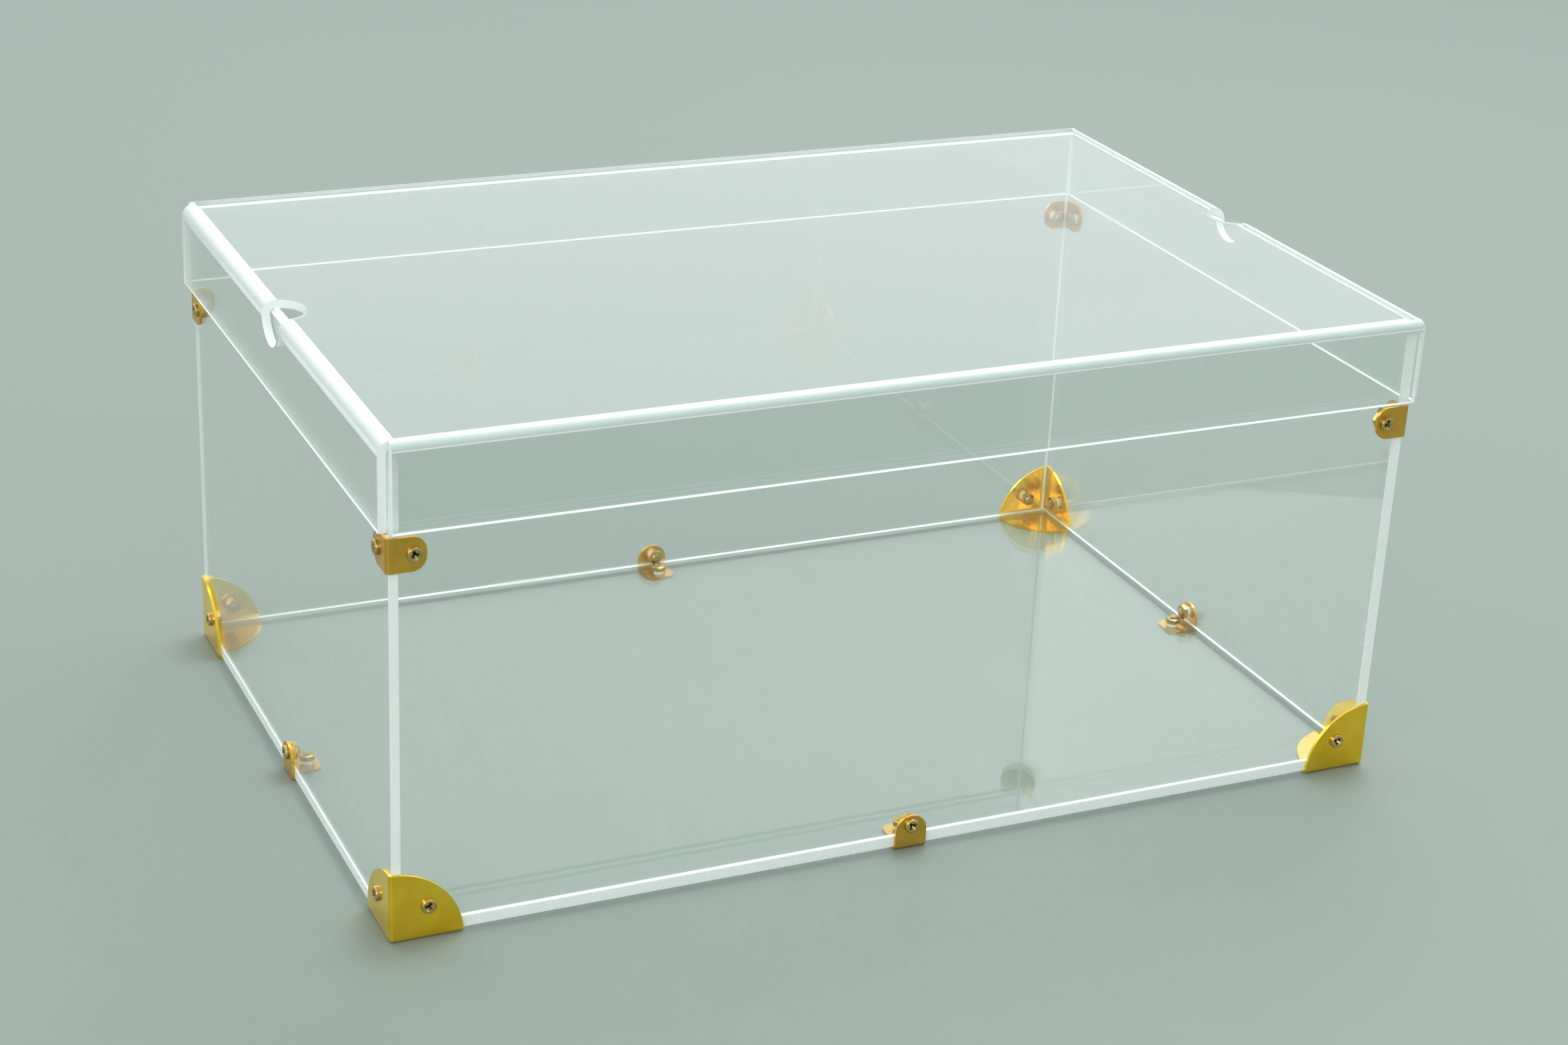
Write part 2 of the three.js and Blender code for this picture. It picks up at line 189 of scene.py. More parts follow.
class Shader:
    """A material's node tree, with a Principled shader that its nodes feed."""

    def __init__(self, name):
        self.material = bpy.data.materials.new(name)
        self.material.use_nodes = True
        self.nodes = self.material.node_tree.nodes
        self.links = self.material.node_tree.links
        self.bsdf = self.nodes["Principled BSDF"]
        self.place = self.nodes.new("ShaderNodeTexCoord").outputs["Object"]

    def set(self, **values):
        for key, value in values.items():
            self.bsdf.inputs[key.replace("_", " ").title().replace("Ior", "IOR")].default_value = value

    def noise(self, scale, detail):
        texture = self.nodes.new("ShaderNodeTexNoise")
        texture.inputs["Scale"].default_value = scale
        texture.inputs["Detail"].default_value = detail
        self.links.new(self.place, texture.inputs["Vector"])
        return texture.outputs["Fac"]

    def spread(self, factor, low, high, start=0.35, end=0.65):
        """Maps a noise to the range from low to high."""
        node = self.nodes.new("ShaderNodeMapRange")
        node.inputs["From Min"].default_value = start
        node.inputs["From Max"].default_value = end
        node.inputs["To Min"].default_value = low
        node.inputs["To Max"].default_value = high
        self.links.new(factor, node.inputs["Value"])
        return node.outputs["Result"]

    def blend(self, factor, one, other):
        node = self.nodes.new("ShaderNodeMix")
        node.data_type = "RGBA"
        node.inputs["A"].default_value = (*one, 1)
        node.inputs["B"].default_value = (*other, 1)
        self.links.new(factor, node.inputs["Factor"])
        return node.outputs["Result"]

    def feed(self, socket, output):
        self.links.new(output, self.bsdf.inputs[socket])

    def bump(self, height, distance, strength=1.0):
        node = self.nodes.new("ShaderNodeBump")
        node.inputs["Distance"].default_value = distance
        node.inputs["Strength"].default_value = strength
        self.links.new(height, node.inputs["Height"])
        self.feed("Normal", node.outputs["Normal"])


def clear_acrylic():
    """The polished faces of the sheet. Light for other surfaces goes straight through it."""
    shader = Shader("acrylic_face")
    shader.set(base_color=(0.975, 0.99, 0.983, 1), transmission_weight=1.0, ior=1.49)
    smudge = shader.noise(14, 5.0)
    shader.feed("Roughness", shader.spread(smudge, 0.0, 0.05, 0.52, 0.75))
    path = shader.nodes.new("ShaderNodeLightPath")
    either = shader.nodes.new("ShaderNodeMath")
    either.operation = "MAXIMUM"
    through = shader.nodes.new("ShaderNodeBsdfTransparent")
    through.inputs["Color"].default_value = (0.965, 0.98, 0.972, 1)
    mix = shader.nodes.new("ShaderNodeMixShader")
    shader.links.new(path.outputs["Is Shadow Ray"], either.inputs[0])
    shader.links.new(path.outputs["Is Diffuse Ray"], either.inputs[1])
    shader.links.new(either.outputs["Value"], mix.inputs["Fac"])
    shader.links.new(shader.bsdf.outputs["BSDF"], mix.inputs[1])
    shader.links.new(through.outputs["BSDF"], mix.inputs[2])
    shader.links.new(mix.outputs["Shader"], shader.nodes["Material Output"].inputs["Surface"])
    return shader.material


def hazy_bend_with_painted_highlight():
    """The bent parts of the sheet, which the heat has left a little hazy; their half-white diffuse part is a
    painted highlight, the soft bright band along each bend.
    """
    shader = Shader("acrylic_bend_painted_highlight")
    # Half diffuse white: a painted highlight along the bends.
    shader.set(base_color=(0.90, 0.94, 0.93, 1), transmission_weight=0.5, ior=1.49)
    haze = shader.noise(40, 3.0)
    shader.feed("Roughness", shader.spread(haze, 0.33, 0.37))
    return shader.material


def frosted_edge_and_painted_reflection(name, dark, light):
    """The cut edges and cemented seams of the sheet, which glow white; in darker tones, the painted
    reflection of the bright room on the lid's rounded-over edges.
    """
    shader = Shader(name)
    shader.set(ior=1.49)
    cloud = shader.noise(60, 2.0)
    shader.feed("Base Color", shader.blend(cloud, dark, light))
    saw = shader.noise(900, 4.0)
    shader.feed("Roughness", shader.spread(saw, 0.22, 0.42))
    shader.bump(saw, 0.00004, 0.4)
    return shader.material


def brass(name, metallic, light, dark, smooth, rough, grain, grain_depth):
    """Plated and lacquered brass with faint tarnish and a grain in its gloss."""
    shader = Shader(name)
    shader.set(metallic=metallic)
    tarnish = shader.noise(90, 3.0)
    shader.feed("Base Color", shader.blend(shader.spread(tarnish, 0, 1), light, dark))
    fine = shader.noise(grain, 3.0)
    shader.feed("Roughness", shader.spread(fine, smooth, rough))
    shader.bump(fine, grain_depth, 0.5)
    return shader.material


def plain_floor():
    shader = Shader("floor")
    shader.set(roughness=0.5)
    grain = shader.noise(3, 2.0)
    shader.feed("Base Color", shader.blend(grain, (0.225, 0.272, 0.246), (0.235, 0.283, 0.257)))
    return shader.material


# ---------------------------------------------------------------- mesh tools


def weld(faces, outer, inner):
    """Joins points of the outer surface that coincide, and drops faces that shrink to nothing."""
    places, first, remap = {}, [], []
    for i, point in enumerate(outer):
        key = tuple(round(c / (0.001 * MM)) for c in point)
        if key not in places:
            places[key] = len(first)
            first.append(i)
        remap.append(places[key])
    kept = []
    for face in faces:
        ring = [remap[i] for i in face]
        ring = [v for k, v in enumerate(ring) if v != ring[k - 1]]
        if len(set(ring)) > 2:
            kept.append(ring)
    return kept, [outer[i] for i in first], [inner[i] for i in first]


def thicken(faces, outer, inner, rounding):
    """A closed sheet between an outer and an inner surface. Its rim gets the second material slot and
    rounded edges."""
    faces, outer, inner = weld(faces, outer, inner)
    count = len(outer)
    bm = bmesh.new()
    verts = [bm.verts.new(p) for p in outer + inner]
    edges = {(f[k - 1], f[k]) for f in faces for k in range(len(f))}
    for face in faces:
        bm.faces.new([verts[i] for i in face])
        bm.faces.new([verts[i + count] for i in reversed(face)])
    for a, b in sorted(edges):
        if (b, a) not in edges:
            rim = bm.faces.new([verts[b], verts[a], verts[a + count], verts[b + count]])
            rim.material_index = 1
    bmesh.ops.delete(bm, geom=[v for v in bm.verts if not v.link_faces], context="VERTS")
    bm.normal_update()
    sharp = [e for e in bm.edges if len(e.link_faces) == 2 and e.calc_face_angle() > RIM_SHARP]
    bmesh.ops.bevel(bm, geom=sharp, offset=rounding, segments=2, profile=0.5, affect="EDGES",
                    material=1, clamp_overlap=True)
    bmesh.ops.dissolve_degenerate(bm, dist=SHEET_SLIVER, edges=bm.edges)
    bmesh.ops.recalc_face_normals(bm, faces=bm.faces)
    return bm


def add_piece(name, bm, materials, body, slot, *nodes):
    """Makes bm into an object on a CAD body, with smooth shading except across real corners."""
    mesh = bpy.data.meshes.new(name)
    bm.to_mesh(mesh)
    bm.free()
    for material in materials:
        mesh.materials.append(material)
    mesh.polygons.foreach_set("use_smooth", [True] * len(mesh.polygons))
    mesh.set_sharp_from_angle(angle=SHEET_SHARP)
    place_mesh(name, mesh, Matrix.Identity(4), body, slot, *nodes)


def place_mesh(name, mesh, matrix, body, slot, *nodes):
    piece = bpy.data.objects.new(name, mesh)
    bpy.context.scene.collection.objects.link(piece)
    piece.matrix_world = matrix
    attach(piece, body)
    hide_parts(*nodes)


def circle(x, y, radius, steps=24):
    return [(x + radius * math.cos(2 * math.pi * k / steps), y + radius * math.sin(2 * math.pi * k / steps))
            for k in range(steps)]


def fill(outline, holes):
    """Triangles that fill a flat outline with holes: faces and 2-D points."""
    bm = bmesh.new()
    for loop in [outline, *holes]:
        verts = [bm.verts.new((x, y, 0)) for x, y in loop]
        for k in range(len(verts)):
            bm.edges.new((verts[k - 1], verts[k]))
    bmesh.ops.triangle_fill(bm, edges=bm.edges, use_beauty=True)
    bm.verts.index_update()
    faces = []
    for face in bm.faces:
        ring = [v.index for v in face.verts]
        faces.append(ring if face.normal.z > 0 else ring[::-1])
    points = [(v.co.x, v.co.y) for v in bm.verts]
    bm.free()
    return faces, points


def slab(outline, holes, place, thickness, rounding=EDGE_ROUND):
    """A flat sheet. place puts (x, y, depth) in the row frame, with depth 0 on the outer face."""
    faces, points = fill(outline, holes)
    outer = [place(x, y, 0) for x, y in points]
    inner = [place(x, y, thickness) for x, y in points]
    return thicken(faces, outer, inner, rounding)


def rectangle(x0, y0, x1, y1):
    return [(x0, y0), (x1, y0), (x1, y1), (x0, y1)]


def stations_sheet(stations, place, thickness, rounding, solid=None):
    """A sheet cut to a shape and then bent. Each station is (s, [v, ...]), a line across the flat
    sheet at s with points at v, and place(s, v, depth) bends it. With solid given, the sheet is open
    between the two middle points of a line, and wherever solid(distance along, distance across) fails."""
    faces, outer, inner = [], [], []
    for s, line in stations:
        outer += [place(s, v, 0) for v in line]
        inner += [place(s, v, thickness) for v in line]
    width = len(stations[0][1])
    for i, (s, line) in enumerate(stations[:-1]):
        along = abs(s + stations[i + 1][0]) / 2
        for j in range(width - 1):
            across = abs(line[j] + line[j + 1]) / 2
            if solid and (2 * j + 2 == width or not solid(along, across)):
                continue
            a = i * width + j
            faces.append([a, a + width, a + width + 1, a + 1])
    return thicken(faces, outer, inner, rounding)


def merge_close(values, least=0.02 * MM):
    kept = []
    for value in sorted(values):
        if not kept or value - kept[-1] > least:
            kept.append(value)
    return kept


def turned(index):
    return Matrix.Rotation(index * RIGHT_ANGLE, 4, "Z")


# ---------------------------------------------------------------- box panels


def add_panels(face, edge):
    low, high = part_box("base_panel")
    holes = []
    for side in SIDES:
        centre = centre_of(f"clip_foot_screw_{side}")
        holes.append(circle(centre.x, centre.y, HOLE_RADIUS))
    base = slab(rectangle(low.x, low.y, high.x, high.y), holes, lambda x, y, d: Vector((x, y, high.z - d)),
                high.z - low.z)
    add_piece("base_panel_clear", base, [face, edge], "box", "acrylic", "base_panel")
    base_top = high.z
    for index, side in enumerate(SIDES):
        add_wall(side, index, base_top, face, edge)


def centre_of(node):
    low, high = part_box(node)
    return (low + high) / 2


def add_wall(side, index, base_top, face, edge):
    """A wall drawn as the front wall is, with u to the right as seen from outside, and then turned."""
    back = turned(-index)
    node = f"{side}_panel"
    ends = [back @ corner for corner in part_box(node)]
    low = Vector([min(a, b) for a, b in zip(*ends)])
    high = Vector([max(a, b) for a, b in zip(*ends)])
    half = high.x
    if side in ("front", "back"):
        half = half_length_along(index) - SHEET - SEAM
    screws = [f"clip_wall_screw_{side}"]
    for end in (SIDES[index - 1], SIDES[(index + 1) % 4]):
        screws += [f"guard_screw_{side}_{end}", f"strap_screw_{side}_{end}"]
    holes = []
    for screw in screws:
        centre = back @ centre_of(screw)
        holes.append(circle(centre.x, centre.z, HOLE_RADIUS))
    forward = turned(index)
    wall = slab(rectangle(-half, base_top + SEAM, half, high.z), holes,
                lambda x, z, d: forward @ Vector((x, low.y + d, z)), SHEET)
    if side in ("left", "right"):
        ease_top(wall, forward @ Vector((0, low.y, high.z - WALL_EASING)), forward @ Vector((0, -1, 1)))
    add_piece(f"{node}_clear", wall, [face, edge], "box", "acrylic", node)


def ease_top(bm, point, normal):
    """Cuts off what lies past a plane, which eases a wall's outer top edge clear of the lid's bend."""
    geometry = bm.verts[:] + bm.edges[:] + bm.faces[:]
    cut = bmesh.ops.bisect_plane(bm, geom=geometry, dist=SNAP, plane_co=point, plane_no=normal.normalized(),
                                 clear_outer=True)
    rim = [e for e in cut["geom_cut"] if isinstance(e, bmesh.types.BMEdge)]
    for face in bmesh.ops.contextual_create(bm, geom=rim)["faces"]:
        face.material_index = 1
    bmesh.ops.recalc_face_normals(bm, faces=bm.faces)


def half_length_along(index):
    """Half the box's size in the direction that a side's wall runs."""
    low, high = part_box("base_panel")
    return high.x if index % 2 == 0 else high.y


# ---------------------------------------------------------------- lid


def add_lid(face, edge, bend, rounded):
    low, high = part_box("lid_sheet")
    sheet = lid_sheet(low, high)
    # bend is the hazy material with a painted highlight; rounded is the painted reflection on the
    # rounded-over edges.
    add_piece("lid_sheet_clear", sheet, [face, edge, bend, rounded], "lid", "acrylic", "lid_sheet")
    for index, side in enumerate(["front", "back"]):
        node = f"lid_{side}_strip"
        strip_low, strip_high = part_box(node)
        outline = rectangle(strip_low.x, strip_low.z, strip_high.x, high.z - SHEET - SEAM)
        forward = turned(2 * index)
        strip = slab(outline, [], lambda x, z, d: forward @ Vector((x, low.y + d, z)), SHEET)
        add_piece(f"{node}_clear", strip, [face, edge], "lid", "acrylic", node)


def lid_sheet(low, high):
    """The bent sheet, cut flat with a round hole over each bend line and then folded down. Its flat
    part is deeper than its legs are wide, and is rounded over along its front and back edges."""
    middle = LID_BEND - SHEET / 2
    bend_start = high.x - LID_BEND
    bend_end = bend_start + middle * RIGHT_ANGLE
    leg_end = bend_end + high.z - LID_BEND - low.z
    flat_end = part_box("lid_front_strip")[1].x
    notch = (bend_start + bend_end) / 2
    edge_start = high.y - LID_EDGE_ROUND

    def place(s, y, depth):
        along, side = abs(s), math.copysign(1, s)
        beyond = abs(y) - edge_start
        if abs(y) > LEG_REACH or along <= bend_start:
            drop = depth
            if beyond > 0 and depth == 0:
                drop = LID_EDGE_ROUND - max(LID_EDGE_ROUND ** 2 - beyond ** 2, 0) ** 0.5
            return Vector((s, y, high.z - drop))
        if along >= bend_end:
            return Vector((side * (high.x - depth), y, high.z - LID_BEND - (along - bend_end)))
        angle = (along - bend_start) / middle
        radius = LID_BEND - depth
        x = bend_start + radius * math.sin(angle)
        return Vector((side * x, y, high.z - LID_BEND + radius * math.cos(angle)))

    def solid(along, y):
        if along > flat_end:
            return y < LEG_REACH
        return along < bend_start or not LEG_REACH < y < LEG_REACH + LEG_SLIT

    ease = 0.5 * MM
    steps = [0, bend_start - ease, bend_end + ease, leg_end, flat_end]
    steps += [notch + NOTCH_RADIUS * math.cos(math.pi * k / 32) for k in range(33)]
    steps += [bend_start + (bend_end - bend_start) * k / 16 for k in range(17)]
    steps = merge_close(steps)
    margin = [NOTCH_RADIUS + 2 * MM, LEG_REACH, LEG_REACH + LEG_SLIT]
    margin += [edge_start + LID_EDGE_ROUND * math.sin(RIGHT_ANGLE * k / 10) for k in range(11)]
    stations = []
    for s in [-s for s in reversed(steps[1:])] + steps:
        reach = max(NOTCH_RADIUS ** 2 - (abs(s) - notch) ** 2, 0) ** 0.5
        stations.append((s, [-v for v in reversed(margin)] + [-reach, reach] + margin))
    sheet = stations_sheet(stations, place, SHEET, EDGE_ROUND, solid)
    # Slot 3, on the outer faces of the rounded-over edges, paints their reflection of the room in a flat pale
    # colour; slot 2, on the bends, carries a painted highlight.
    for face in sheet.faces:
        centre = face.calc_center_median()
        if face.material_index == 0 and abs(centre.y) > edge_start:
            face.material_index = 3 if face.normal.z > 0 else 1
        elif face.material_index == 0 and abs(centre.x) > bend_start and centre.z > high.z - LID_BEND:
            face.material_index = 2
    return sheet


# ---------------------------------------------------------------- brass fittings


def outer_corner(node):
    """The corner of a fitting's box that is furthest from the middle of the shoe box, at its lowest."""
    low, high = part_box(node)
    x = low.x if low.x < -high.x else high.x
    y = low.y if low.y < -high.y else high.y
    return Vector((x, y, low.z))


def add_fittings(polished, satin):
    guard = guard_mesh()
    strap = strap_mesh()
    for index, corner in enumerate(CORNERS):
        node = f"corner_guard_{corner}"
        matrix = Matrix.Translation(outer_corner(node)) @ turned(index)
        add_shared(f"{node}_plate", guard, [polished], matrix, "guard_brass", node)
        node = f"corner_strap_{corner}"
        matrix = Matrix.Translation(outer_corner(node)) @ turned(index)
        add_shared(f"{node}_plate", strap, [satin], matrix, "strap_brass", node)
    clip = clip_mesh()
    for index, side in enumerate(SIDES):
        node = f"edge_clip_{side}"
        low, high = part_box(node)
        reach = max(abs(c) for corner in (low, high) for c in corner.xy)
        matrix = turned(index) @ Matrix.Translation((0, -reach, 0))
        add_shared(f"{node}_plate", clip, [satin], matrix, "strap_brass", node)


def add_shared(name, mesh, materials, matrix, slot, *nodes):
    """Places a copy of a mesh that several pieces share the shape of."""
    own = mesh.copy()
    own.name = name
    for material in materials:
        own.materials.append(material)
    place_mesh(name, own, matrix, "box", slot, *nodes)


def finished(bm, name):
    """A mesh with smooth shading except across real corners."""
    mesh = bpy.data.meshes.new(name)
    for face in bm.faces:
        face.material_index = 0
    bm.to_mesh(mesh)
    bm.free()
    mesh.polygons.foreach_set("use_smooth", [True] * len(mesh.polygons))
    mesh.set_sharp_from_angle(angle=METAL_SHARP)
    return mesh


def folded(s, depth):
    """A point on a metal strip folded at s = 0: distances from the two outer planes. The first leg
    has s < 0 and lies in the plane b = 0, the second has s > 0 and lies in the plane a = 0."""
    if s <= -HALF_BEND:
        return -s - HALF_BEND + FOLD, depth
    if s >= HALF_BEND:
        return depth, s - HALF_BEND + FOLD
    angle = (s + HALF_BEND) / (2 * HALF_BEND) * RIGHT_ANGLE
    radius = FOLD - depth
    return FOLD - radius * math.sin(angle), FOLD - radius * math.cos(angle)


def leg_steps(end, corner):
    """Stations from the fold to the end of a leg that reaches "end" from the outer corner."""
    length = end - FOLD + HALF_BEND
    steps = [HALF_BEND * k / 6 for k in range(7)]
    steps += [HALF_BEND + 0.3 * MM]
    steps += [length - corner * (1 - math.sin(RIGHT_ANGLE * k / 12)) for k in range(13)]
    return merge_close(steps), length


def rounded_half(s, length, half, corner):
    """Half the width of a strip near an end whose two corners are rounded."""
    beyond = s - (length - corner)
    if beyond <= 0:
        return half
    return half - corner + max(corner ** 2 - beyond ** 2, 0) ** 0.5


def strap_mesh():
    low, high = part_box("corner_strap_front_left")
    middle = (high.z - low.z) / 2
    steps, length = leg_steps(high.x - low.x, STRAP_CORNER)
    stations = []
    for s in [-s for s in reversed(steps[1:])] + steps:
        half = rounded_half(abs(s), length, middle, STRAP_CORNER)
        stations.append((s, [middle - half, middle + half]))

    def place(s, z, depth):
        a, b = folded(s, depth)
        return Vector((a, b, z))

    return finished(stations_sheet(stations, place, METAL, METAL_ROUND), "strap")


def clip_mesh():
    """The wall leg has s < 0 and a half-round end, the foot has s > 0 and two rounded corners."""
    low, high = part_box("edge_clip_front")
    half = (high.x - low.x) / 2
    leg, leg_length = leg_steps(high.z - low.z, half)
    foot, foot_length = leg_steps(high.y - low.y, CLIP_FOOT_CORNER)
    stations = []
    for s in reversed(leg[1:]):
        width = rounded_half(s, leg_length, half, half)
        stations.append((-s, [-width, width]))
    for s in foot:
        width = rounded_half(s, foot_length, half, CLIP_FOOT_CORNER)
        stations.append((s, [-width, width]))

    def place(s, x, depth):
        z, y = folded(s, depth)
        return Vector((x, y, z))

    return finished(stations_sheet(stations, place, METAL, METAL_ROUND), "clip")


def guard_mesh():
    """Three quarter-round plates pressed from one sheet, with their folds and their corner rounded.
    Each plate is a grid over its two distances a and b from the folds."""
    low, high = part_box("corner_guard_front_left")
    radius = high.x - low.x
    last = (radius ** 2 - FOLD ** 2) ** 0.5
    tilt = math.asin(FOLD / radius)
    steps = [FOLD * k / 8 for k in range(9)]
    steps += [FOLD + 0.3 * MM]
    steps += [radius * math.sin(tilt + (RIGHT_ANGLE - 2 * tilt) * k / 24) for k in range(1, 25)]
    steps = merge_close(steps)
    steps[-1] = last
    faces, outer, inner = [], [], []
    count = len(steps)
    for plate in range(3):
        start = len(outer)
        for a in steps:
            reach = last if a <= FOLD else max(radius ** 2 - a ** 2, FOLD ** 2) ** 0.5
            for b in steps:
                b = b if b <= FOLD else FOLD + (b - FOLD) / (last - FOLD) * (reach - FOLD)
                flat = Vector((a, b, 0))
                core = Vector([max(c, FOLD) for c in flat])
                away = (flat - core).normalized()
                top, under = core + away * FOLD, core + away * (FOLD - METAL)
                outer.append(cycle(top, plate))
                inner.append(cycle(under, plate))
        for i in range(count - 1):
            for j in range(count - 1):
                a = start + i * count + j
                faces.append([a, a + 1, a + count + 1, a + count])
    return finished(thicken(faces, outer, inner, METAL_ROUND), "guard")


def cycle(point, times):
    x, y, z = point
    return Vector([(x, y, z), (z, x, y), (y, z, x)][times])


# ---------------------------------------------------------------- screws and nuts


def lathe(profile, steps=ROUND_STEPS):
    """A closed solid of revolution about Z. The profile's (r, z) points run from axis to axis."""
    bm = bmesh.new()
    rings = []
    for r, z in profile:
        if r < 1e-9:
            rings.append([bm.verts.new((0, 0, z))] * steps)
        else:
            rings.append([bm.verts.new((r * math.cos(2 * math.pi * k / steps),
                                        r * math.sin(2 * math.pi * k / steps), z)) for k in range(steps)])
    for low, high in zip(rings, rings[1:]):
        for k in range(steps):
            ring = [low[k - 1], low[k], high[k], high[k - 1]]
            ring = [v for n, v in enumerate(ring) if v is not ring[n - 1]]
            bm.faces.new(ring)
    bmesh.ops.recalc_face_normals(bm, faces=bm.faces)
    return bm


def threaded(start, end):
    """The profile of a threaded shank from z = start down to z = end, with a chamfered tip."""
    points = []
    turns = int((start - end - THREAD_DEPTH) / THREAD_PITCH)
    for k in range(turns):
        z = start - k * THREAD_PITCH
        points += [(SHANK_RADIUS, z), (SHANK_RADIUS, z - THREAD_CREST)]
        points += [(SHANK_RADIUS - THREAD_DEPTH, z - THREAD_FALL)]
    points += [(SHANK_RADIUS, end + THREAD_DEPTH), (SHANK_RADIUS - THREAD_DEPTH, end), (0, end)]
    return points


def cross_cutter(top):
    """Two crossed wedges and a cone, which sink a cross recess below z = top."""
    bm = bmesh.new()
    low_z = top - RECESS_DEPTH
    high_z = top + CUTTER_PROUD
    for turn in range(2):
        spin = Matrix.Rotation(turn * RIGHT_ANGLE, 4, "Z")
        (a, b), (c, d) = WEDGE_LOW, WEDGE_HIGH
        ring_low = [Vector((x, y, low_z)) for x, y in rectangle(-a, -b, a, b)]
        ring_high = [Vector((x, y, high_z)) for x, y in rectangle(-c, -d, c, d)]
        low = [bm.verts.new(spin @ p) for p in ring_low]
        high = [bm.verts.new(spin @ p) for p in ring_high]
        bm.faces.new(low[::-1])
        bm.faces.new(high)
        for k in range(4):
            bm.faces.new([low[k - 1], low[k], high[k], high[k - 1]])
    depth = high_z - low_z
    centre = Matrix.Translation((0, 0, high_z - depth / 2))
    bmesh.ops.create_cone(bm, cap_ends=True, segments=16, radius1=CONE_RADII[0], radius2=CONE_RADII[1],
                          depth=depth, matrix=centre)
    bmesh.ops.recalc_face_normals(bm, faces=bm.faces)
    return bm


def cut_with(bm, tool, operation="DIFFERENCE"):
    """The mesh of one solid cut by another."""
    body = bpy.data.objects.new("body", bpy.data.meshes.new("body"))
    cutter = bpy.data.objects.new("cutter", bpy.data.meshes.new("cutter"))
    for obj, source in ((body, bm), (cutter, tool)):
        source.to_mesh(obj.data)
        source.free()
        bpy.context.scene.collection.objects.link(obj)
    modifier = body.modifiers.new("cut", "BOOLEAN")
    modifier.operation = operation
    modifier.solver = "EXACT"
    modifier.use_self = True
    modifier.object = cutter
    graph = bpy.context.evaluated_depsgraph_get()
    mesh = bpy.data.meshes.new_from_object(body.evaluated_get(graph))
    for obj in (body, cutter):
        bpy.data.objects.remove(obj)
    drop_slivers(mesh)
    mesh.polygons.foreach_set("use_smooth", [True] * len(mesh.polygons))
    mesh.set_sharp_from_angle(angle=SCREW_SHARP)
    return mesh


def drop_slivers(mesh):
    """Removes the faces without area that a cut leaves where two surfaces only just touch."""
    bm = bmesh.new()
    bm.from_mesh(mesh)
    bmesh.ops.remove_doubles(bm, verts=bm.verts, dist=SCREW_SLIVER)
    bmesh.ops.dissolve_degenerate(bm, dist=SCREW_SLIVER, edges=bm.edges)
    bm.to_mesh(mesh)
    bm.free()


def with_recess(body, top, rim):
    """The screw with its recess sunk below z = top, the recess's own walls in material slot 1, which paints
    shade into them.
    """
    mesh = cut_with(body, cross_cutter(top))
    for polygon in mesh.polygons:
        x, y, z = polygon.center
        inside = top - RECESS_DEPTH - 0.05 * MM < z < rim and math.hypot(x, y) < 0.9 * SHANK_RADIUS
        polygon.material_index = 1 if inside else 0
    return mesh


def pan_screw(grip):
    """Pan head on z = 0, shank down through the grip and the nut."""
    r, h = HEAD_RADIUS, HEAD_HEIGHT
    end = -grip - NUT_HEIGHT - TIP
    crown = [(0, 0.93 * h), (0.62 * r, 0.94 * h), (0.68 * r, h), (0.84 * r, h), (0.93 * r, 0.9 * h),
             (0.99 * r, 0.7 * h), (r, 0.45 * h), (r, 0.06 * h), (0.98 * r, 0)]
    profile = crown + [(SHANK_RADIUS, 0)] + threaded(-0.2 * MM, end)
    return with_recess(lathe(profile), h, 0.92 * h)


def sunk_screw(grip):
    """Countersunk head flush with z = 0."""
    end = -grip - NUT_HEIGHT - TIP
    profile = [(0, 0), (SUNK_RADIUS - 0.15 * MM, 0), (SUNK_RADIUS, -SUNK_RIM / 2), (SUNK_RADIUS, -SUNK_RIM)]
    profile += [(SHANK_RADIUS, -SUNK_RIM - (SUNK_RADIUS - SHANK_RADIUS))] + threaded(-1.6 * MM, end)
    return with_recess(lathe(profile), 0, -0.01 * MM)


def hex_nut():
    """A chamfered hex nut that stands on z = 0 and grows downwards."""
    h = NUT_HEIGHT
    prism = lathe([(0, 0.1 * MM), (NUT_RADIUS, 0.1 * MM), (NUT_RADIUS, -h - 0.1 * MM), (0, -h - 0.1 * MM)], 6)
    bevel = 0.4 * MM
    rim = NUT_RADIUS + 0.02 * MM
    inner = rim - bevel * 1.6
    barrel = lathe([(0, 0), (inner, 0), (rim, -bevel), (rim, bevel - h), (inner, -h), (0, -h)], 48)
    return cut_with(prism, barrel, "INTERSECT")


def add_screws(plating, recess):
    wall_grip = outer_face("front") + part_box("front_panel")[1].y
    foot_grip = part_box("base_panel")[1].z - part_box("clip_foot_screw_front")[0].z
    pan, sunk, nut = pan_screw(wall_grip), sunk_screw(foot_grip), hex_nut()
    turn = 0
    for index, side in enumerate(SIDES):
        names = [f"clip_wall_screw_{side}"]
        for end in (SIDES[index - 1], SIDES[(index + 1) % 4]):
            names += [f"guard_screw_{side}_{end}", f"strap_screw_{side}_{end}"]
        outer = outer_face(side)
        for name in names:
            turn += 1
            centre = turned(-index) @ centre_of(name)
            at = Matrix.Translation((centre.x, -outer, centre.z)) @ Matrix.Rotation(RIGHT_ANGLE, 4, "X")
            add_screw(name, turned(index) @ at, pan, nut, wall_grip, turn, plating, recess)
        name = f"clip_foot_screw_{side}"
        centre = centre_of(name)
        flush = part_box(name)[0].z
        at = Matrix.Translation((centre.x, centre.y, flush)) @ Matrix.Rotation(math.pi, 4, "X")
        add_screw(name, at, sunk, nut, foot_grip, turn, plating, recess)


def outer_face(side):
    """How far a side's brass reaches from the middle of the box."""
    low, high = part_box(f"edge_clip_{side}")
    return max(abs(c) for corner in (low, high) for c in corner.xy)


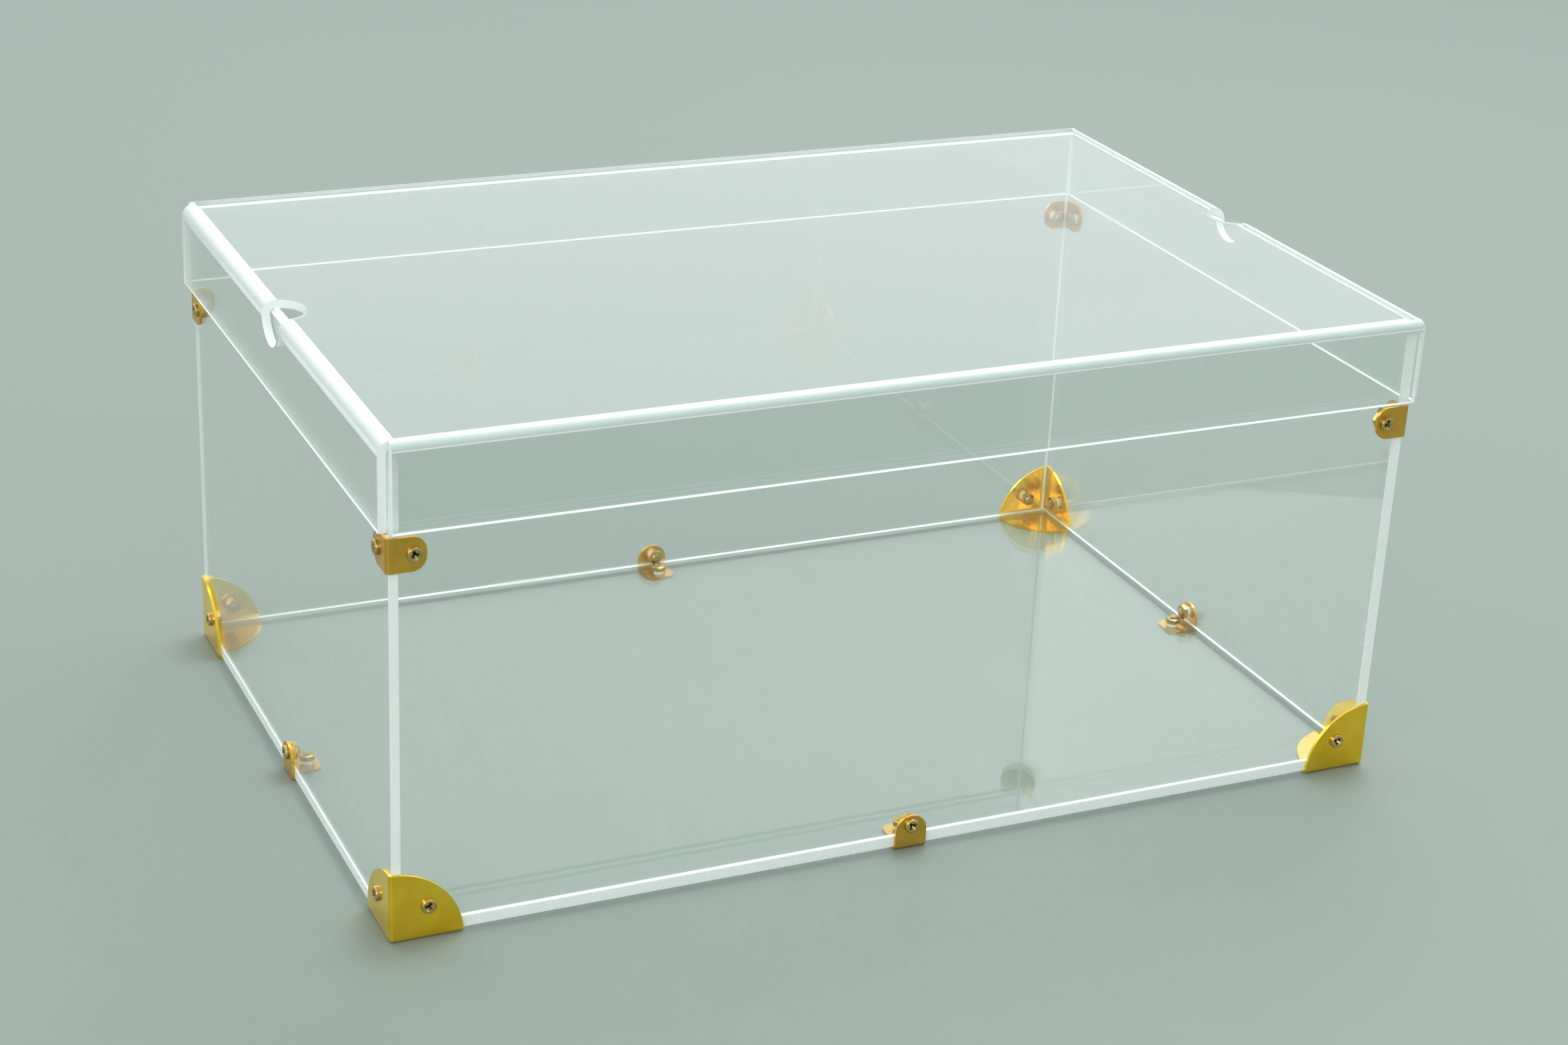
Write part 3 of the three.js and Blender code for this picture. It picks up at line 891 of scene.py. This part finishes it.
def add_screw(name, matrix, screw, nut, grip, turn, plating, recess):
    """A screw whose recess stands at its own angle, and the nut on its far end."""
    spun = matrix @ Matrix.Rotation(math.radians(37 * turn), 4, "Z")
    # recess is the material that paints shade into the recess walls.
    add_shared(f"{name}_head", screw, [plating, recess], spun, "screw_brass", name)
    nut_place = matrix @ Matrix.Translation((0, 0, -grip)) @ Matrix.Rotation(math.radians(23 * turn), 4, "Z")
    add_shared(f"{name}_nut", nut, [plating], nut_place, "screw_brass", name)


# ---------------------------------------------------------------- the scene


bpy.context.scene.view_settings.view_transform = "Standard"
for limit in ("max_bounces", "transmission_bounces", "glossy_bounces", "transparent_max_bounces"):
    setattr(bpy.context.scene.cycles, limit, LIGHT_BOUNCES)

add_camera()
add_world()
add_floor(plain_floor())
add_softbox("overhead", (0.7, 0.5, 1.6), (0.1, 0, 0.1), (1.2, 1.0), 17, (1.0, 1.0, 0.99))
add_softbox("behind_left", (-0.9, 1.6, 1.1), (0, 0, 0.12), (1.1, 0.7), 5, (1.0, 1.0, 1.0))
add_softbox("front_left", (-1.4, -1.5, 0.9), (0, 0, 0.1), (1.2, 0.9), 12, (1.0, 1.0, 1.0))

acrylic_face = clear_acrylic()
acrylic_edge = frosted_edge_and_painted_reflection("acrylic_edge", (0.90, 0.94, 0.93), (0.97, 0.985, 0.98))
# The lid's rounded-over edges: a flat pale colour, painted where the clear rounding would reflect the bright
# room.
acrylic_rounded_painted_reflection = frosted_edge_and_painted_reflection("acrylic_rounded_painted_reflection", (0.58, 0.67, 0.64), (0.64, 0.73, 0.70))
add_panels(acrylic_face, acrylic_edge)
add_lid(acrylic_face, acrylic_edge, hazy_bend_with_painted_highlight(), acrylic_rounded_painted_reflection)
polished_brass = brass("polished_brass", 0.85, (1.0, 0.66, 0.05), (0.90, 0.56, 0.03), 0.08, 0.18, 55, 0.0015)
satin_brass = brass("satin_brass", 0.95, (0.82, 0.48, 0.08), (0.68, 0.375, 0.05), 0.26, 0.38, 2600, 0.00003)
screw_plating = brass("screw_plating", 1.0, (0.62, 0.47, 0.20), (0.50, 0.36, 0.13), 0.18, 0.28, 2000, 0.00002)
# Near-black brass for the recess walls: painted shade in the cross recess.
screw_recess_painted_shade = brass("screw_recess_painted_shade", 0.9, (0.20, 0.14, 0.06), (0.11, 0.075, 0.03), 0.25, 0.35, 2000, 0.00002)
add_fittings(polished_brass, satin_brass)
add_screws(screw_plating, screw_recess_painted_shade)
